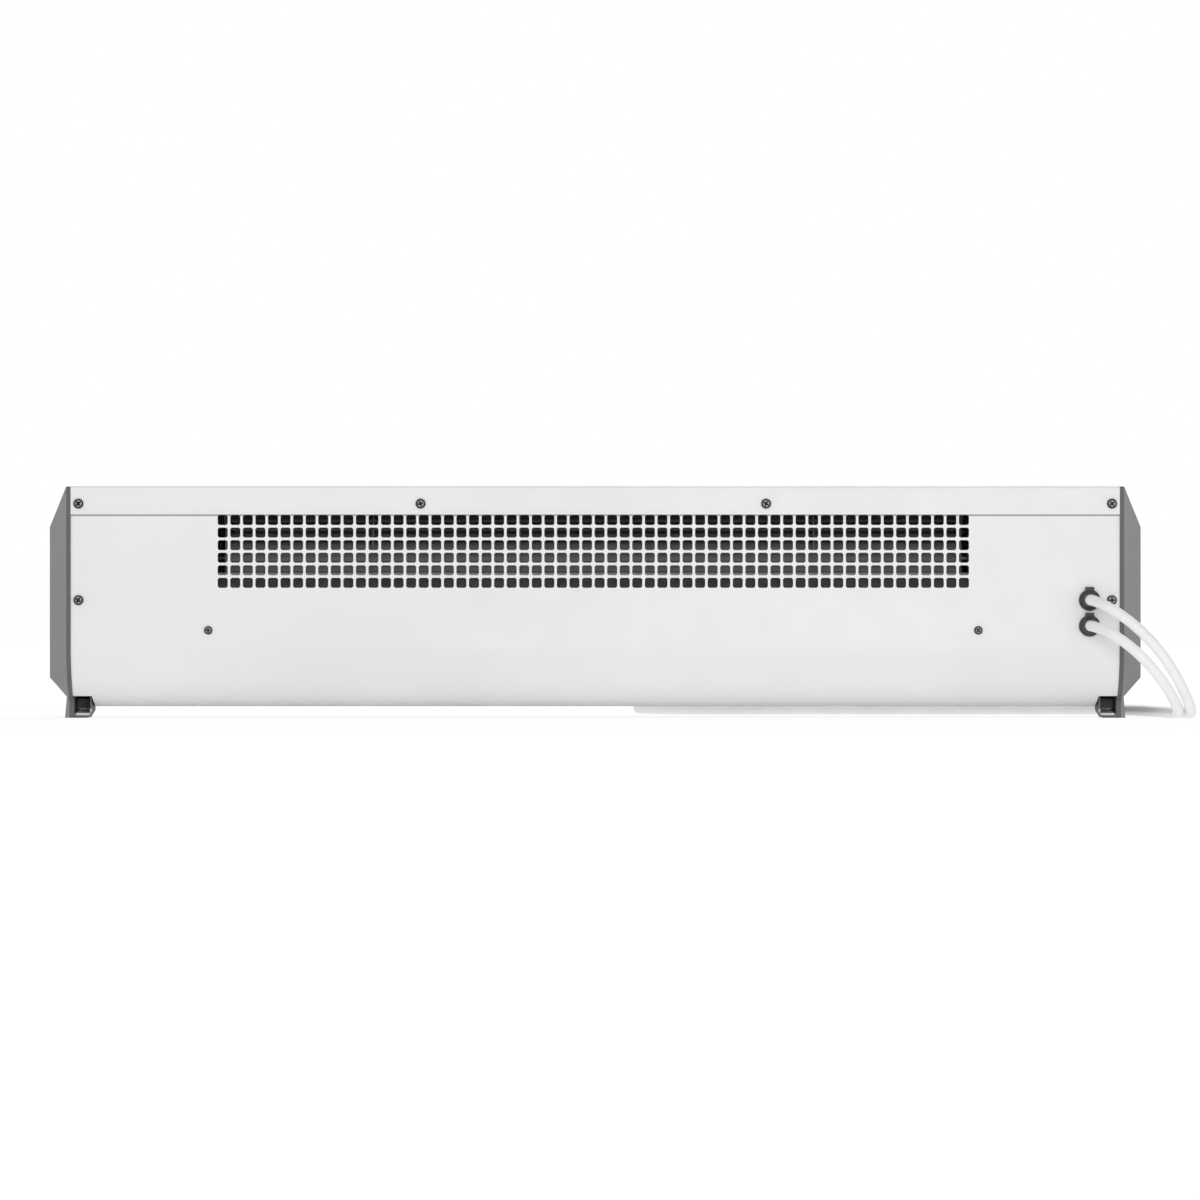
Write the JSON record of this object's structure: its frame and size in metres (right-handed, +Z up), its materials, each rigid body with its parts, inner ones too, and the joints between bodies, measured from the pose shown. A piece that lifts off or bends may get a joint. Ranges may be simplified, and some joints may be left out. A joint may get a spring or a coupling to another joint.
{
  "type": "air curtain",
  "caption": "Door air curtain: white steel casing with a perforated intake, grey end caps with feet, a cross-flow fan, heaters, tilting outlet vanes, a mains lead and a wired wall control.",
  "frame": {"origin": "middle of the casing's footprint, on the plane that the end caps' feet stand on", "axes": "+X along the casing towards the leads' end, seen from the intake side; +Y from the intake face to the room side; +Z up"},
  "size_m": [0.9135, 0.3901, 0.185],
  "materials": {
    "white_powder_coat": "satin powder coat on steel sheet",
    "grey_abs": "fine moulded texture",
    "galvanised_steel": "galvanised sheet",
    "rotor_aluminium": "mill finish",
    "ground_steel": "ground",
    "lamination_steel": "varnished laminations",
    "winding": "enamelled winding under tape",
    "die_cast": "as cast",
    "sintered_bronze": "sintered",
    "black_rubber": "moulded",
    "heater_steel": "finned tube, oxidised",
    "steatite": "unglazed ceramic",
    "phenolic": "moulded",
    "zinc_plate": "bright zinc plate",
    "vane_lacquer": "white lacquered extrusion",
    "natural_nylon": "moulded",
    "cream_polyamide": "moulded",
    "circuit_board": "solder mask, with relays",
    "brass_stud": "plain",
    "loom_sleeve": "sleeved loom",
    "white_pvc": "PVC sheath",
    "black_nylon": "moulded",
    "white_rubber": "moulded-on plug",
    "nickel_plate": "nickel plate",
    "white_urea": "moulded",
    "switch_black": "moulded",
    "control_grey": "moulded"
  },
  "bodies": {
    "root": {"top_panel": "white_powder_coat", "rear_panel": "white_powder_coat", "front_panel": "white_powder_coat", "bay_floors": "white_powder_coat", "side_plate_left": "galvanised_steel", "side_plate_right": "galvanised_steel", "end_cap_left": "grey_abs", "end_cap_right": "grey_abs", "fan_plate_left": "galvanised_steel", "fan_plate_right": "galvanised_steel", "scroll": "galvanised_steel", "tongue": "galvanised_steel", "motor_stator": "lamination_steel", "motor_coil": "winding", "motor_bracket_inner": "die_cast", "motor_bracket_outer": "die_cast", "motor_bushes": "sintered_bronze", "motor_screws": "zinc_plate", "bearing_cup": "galvanised_steel", "bearing_rubber": "black_rubber", "bearing_bush": "sintered_bronze", "heater_rear": "heater_steel", "heater_middle": "heater_steel", "heater_front": "heater_steel", "heater_bushes": "steatite", "thermal_cutout": "phenolic", "outlet_guard": "zinc_plate", "vane_bushes": "natural_nylon", "electrics_tray": "galvanised_steel", "terminal_block": "cream_polyamide", "relay_board": "circuit_board", "earth_stud": "brass_stud", "wiring_loom": "loom_sleeve", "mains_tail": "white_pvc", "control_tail": "white_pvc", "gland_upper": "black_nylon", "gland_lower": "black_nylon", "weld_nuts": "zinc_plate", "panel_screws": "zinc_plate", "fan_plate_screws": "zinc_plate", "cap_screws": "zinc_plate", "mains_lead": "white_pvc", "mains_coil": "white_pvc", "plug_body": "white_rubber", "plug_pins": "nickel_plate", "control_lead": "white_pvc", "control_coil": "white_pvc", "control_base": "white_urea", "control_cover": "white_urea", "control_switches": "switch_black"},
    "rotor": {"impeller": "rotor_aluminium", "motor_shaft": "ground_steel", "stub_shaft": "ground_steel", "motor_rotor": "lamination_steel"},
    "vane_rear": {"air_vane_rear": "vane_lacquer"},
    "vane_front": {"air_vane_front": "vane_lacquer"},
    "fan_rocker": {"rocker_fan": "control_grey"},
    "heat_rocker": {"rocker_heat": "control_grey"},
    "knob": {"thermostat_knob": "control_grey"}
  },
  "joints": [
    {"name": "fan_spin", "type": "hinge", "parent": "root", "child": "rotor", "pos_m": [0, 0, 0.128], "axis": [1, 0, 0], "continuous": true},
    {"name": "vane_rear_tilt", "type": "hinge", "parent": "root", "child": "vane_rear", "pos_m": [0, 0.008, 0.0215], "axis": [1, 0, 0], "range_deg": [-25, 25]},
    {"name": "vane_front_tilt", "type": "hinge", "parent": "root", "child": "vane_front", "pos_m": [0, 0.034, 0.0215], "axis": [1, 0, 0], "range_deg": [-25, 25]},
    {"name": "rocker_fan_press", "type": "hinge", "parent": "root", "child": "fan_rocker", "pos_m": [0.174, 0.1956, 0.0241], "axis": [1, 0, 0], "range_deg": [-14, 0]},
    {"name": "rocker_heat_press", "type": "hinge", "parent": "root", "child": "heat_rocker", "pos_m": [0.174, 0.2296, 0.0241], "axis": [1, 0, 0], "range_deg": [-14, 0]},
    {"name": "thermostat_turn", "type": "hinge", "parent": "root", "child": "knob", "pos_m": [0.208, 0.2126, 0.03], "axis": [0, 0, 1], "range_deg": [-270, 0]}
  ]
}
